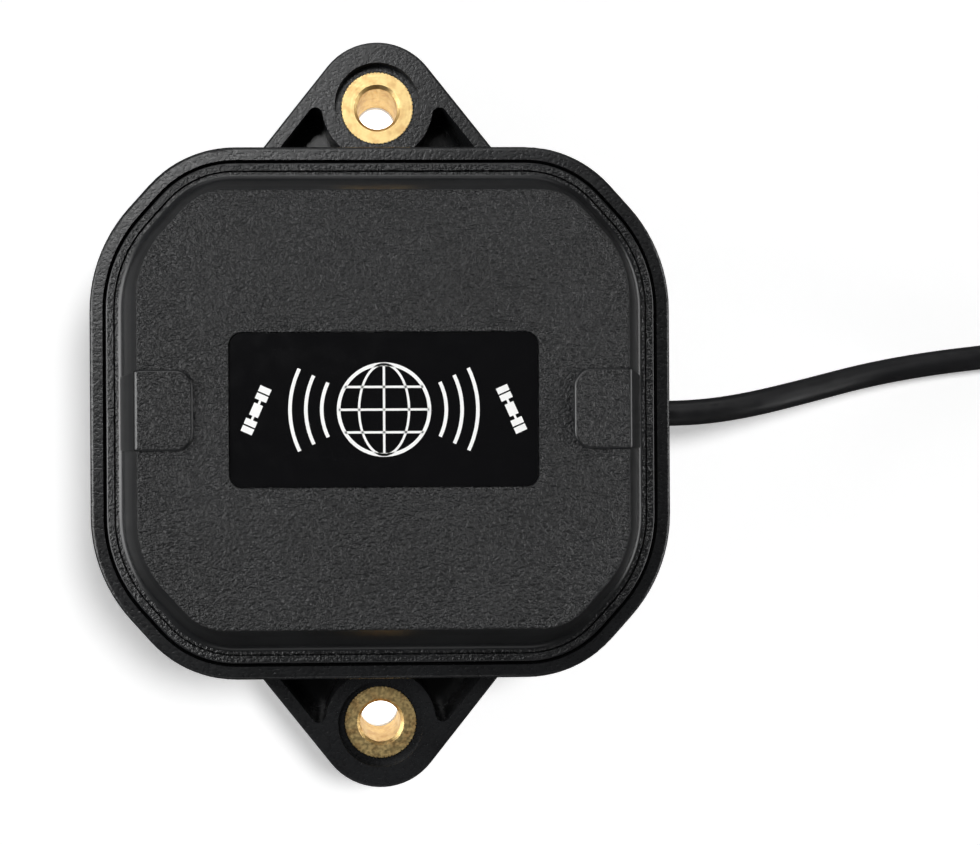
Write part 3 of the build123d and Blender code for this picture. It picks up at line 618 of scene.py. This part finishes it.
# ---------------------------------------------------------------- studio
SWEEP_FLAT, SWEEP_BEND = 3.4, 2.6    # metres: flat floor, then the bend up to the backdrop
SWEEP_RINGS, SWEEP_SIDES = 14, 72
FLOOR_GLOW, WALL_GLOW = 0.40, 0.30
SUN_ENERGY, SUN_ANGLE, SUN_PLACE = 1.93, 19.0, (0.40, 0.30, 1.0)
WORLD_GLOW = 0.03


BOUNCE_R, BOUNCE_Z, BOUNCE_GLOW = 2.1, 0.05, 1.1    # discs under the lugs' holes, in millimetres

# Name, place, width, height (metres) and radiance of each lamp panel. All are aimed at the head.
PANELS = (
    ("key", (-0.24, 0.36, 0.80), 0.40, 0.32, 7.4),
    ("fill", (0.22, 0.46, 0.80), 0.36, 0.20, 0.8),
    ("back", (-0.05, 0.72, 0.70), 0.50, 0.25, 3.2),
    ("side", (-0.80, 0.02, 0.70), 0.26, 0.36, 7.4),
    ("card_left", (-0.74, 0.0, 0.36), 0.80, 0.50, 4.4),
    ("card_right", (0.73, 0.0, 0.16), 0.80, 0.26, 4.4),
    ("card_front", (0.0, -0.70, 0.34), 0.60, 0.26, 0.8),
    ("card_back", (0.0, 0.77, 0.20), 0.80, 0.26, 0.8),
)


def make_floor():
    """A round pale floor that sweeps up into a low backdrop, glows a little and isn't reflected."""
    rings = [(SWEEP_FLAT, 0.0)]
    for i in range(1, SWEEP_RINGS + 1):
        turn = pi / 2 * i / SWEEP_RINGS
        rings.append((SWEEP_FLAT + SWEEP_BEND * sin(turn), SWEEP_BEND * (1 - cos(turn))))
    points, faces = [(0.0, 0.0, 0.0)], []
    for radius, height in rings:
        for k in range(SWEEP_SIDES):
            angle = 2 * pi * k / SWEEP_SIDES
            points.append((radius * cos(angle), radius * sin(angle), height))
    for k in range(SWEEP_SIDES):
        after = (k + 1) % SWEEP_SIDES
        faces.append((0, 1 + k, 1 + after))
        for i in range(len(rings) - 1):
            low, high = 1 + i * SWEEP_SIDES, 1 + (i + 1) * SWEEP_SIDES
            faces.append((low + k, high + k, high + after, low + after))
    mesh = bpy.data.meshes.new("floor")
    mesh.from_pydata(points, [], faces)
    mesh.shade_smooth()
    floor = bpy.data.objects.new("floor", mesh)
    bpy.context.collection.objects.link(floor)
    shader = Shader("floor_pale", (0.92, 0.92, 0.92), 0.9)
    shader.set("Specular IOR Level", 0.1)
    shader.set("Emission Color", (1.0, 1.0, 1.0, 1.0))
    height = shader.split(shader.place())["Z"]
    glow = shader.remap(height, 0.0, 0.5 * SWEEP_BEND / MM, FLOOR_GLOW, WALL_GLOW)
    shader.join(glow, shader.surface.inputs["Emission Strength"])
    dress(floor, shader.material)
    floor.visible_glossy = False
    return floor


def make_bounce(y):
    """A pale disc on the floor under one lug's hole, which lights the hole's wall from below."""
    sides = 32
    turns = [2 * pi * k / sides for k in range(sides)]
    rim = [(BOUNCE_R * cos(a), y + BOUNCE_R * sin(a), BOUNCE_Z) for a in turns]
    mesh = bpy.data.meshes.new("bounce")
    mesh.from_pydata([tuple(c * MM for c in point) for point in rim], [], [tuple(range(sides))])
    disc = bpy.data.objects.new("bounce", mesh)
    bpy.context.collection.objects.link(disc)
    shader = Shader("bounce_pale", (0.9, 0.9, 0.9), 0.9)
    shader.set("Emission Color", (1.0, 0.97, 0.92, 1.0))
    shader.set("Emission Strength", BOUNCE_GLOW)
    dress(disc, shader.material)
    disc.visible_camera = disc.visible_shadow = False


def add_light(name, data, place, floor, on_floor, target=(0.0, 0.0, 0.01)):
    """Aims a light at the head. It lights either the floor alone or everything but the floor."""
    light = bpy.data.objects.new(name, data)
    light.location = place
    aim = Vector(target) - Vector(place)
    light.rotation_euler = aim.to_track_quat("-Z", "Y").to_euler()
    light.visible_camera = False
    bpy.context.collection.objects.link(light)
    linked = bpy.data.collections.new(name + "_lights")
    linked.objects.link(floor)
    linked.collection_objects[0].light_linking.link_state = "INCLUDE" if on_floor else "EXCLUDE"
    light.light_linking.receiver_collection = linked
    return light


def make_panel(name, place, wide, tall, radiance, floor):
    data = bpy.data.lights.new(name, "AREA")
    data.shape = "RECTANGLE"
    data.size, data.size_y = wide, tall
    data.energy = radiance * pi * wide * tall
    return add_light(name, data, place, floor, on_floor=False)


def make_studio():
    floor = make_floor()
    for y in (-LUG_HOLE_Y, LUG_HOLE_Y):
        make_bounce(y)
    sun = bpy.data.lights.new("shade", "SUN")
    sun.energy, sun.angle = SUN_ENERGY, radians(SUN_ANGLE)
    add_light("shade", sun, SUN_PLACE, floor, on_floor=True)
    for name, place, wide, tall, radiance in PANELS:
        make_panel(name, place, wide, tall, radiance, floor)
    world = bpy.data.worlds.new("world")
    world.use_nodes = True
    sky = world.node_tree.nodes["Background"]
    sky.inputs["Color"].default_value = (1.0, 1.0, 1.0, 1.0)
    sky.inputs["Strength"].default_value = WORLD_GLOW
    bpy.context.scene.world = world
    bpy.context.scene.view_settings.view_transform = "Standard"


make_camera()
make_lead(make_materials())
make_label_print()
make_studio()
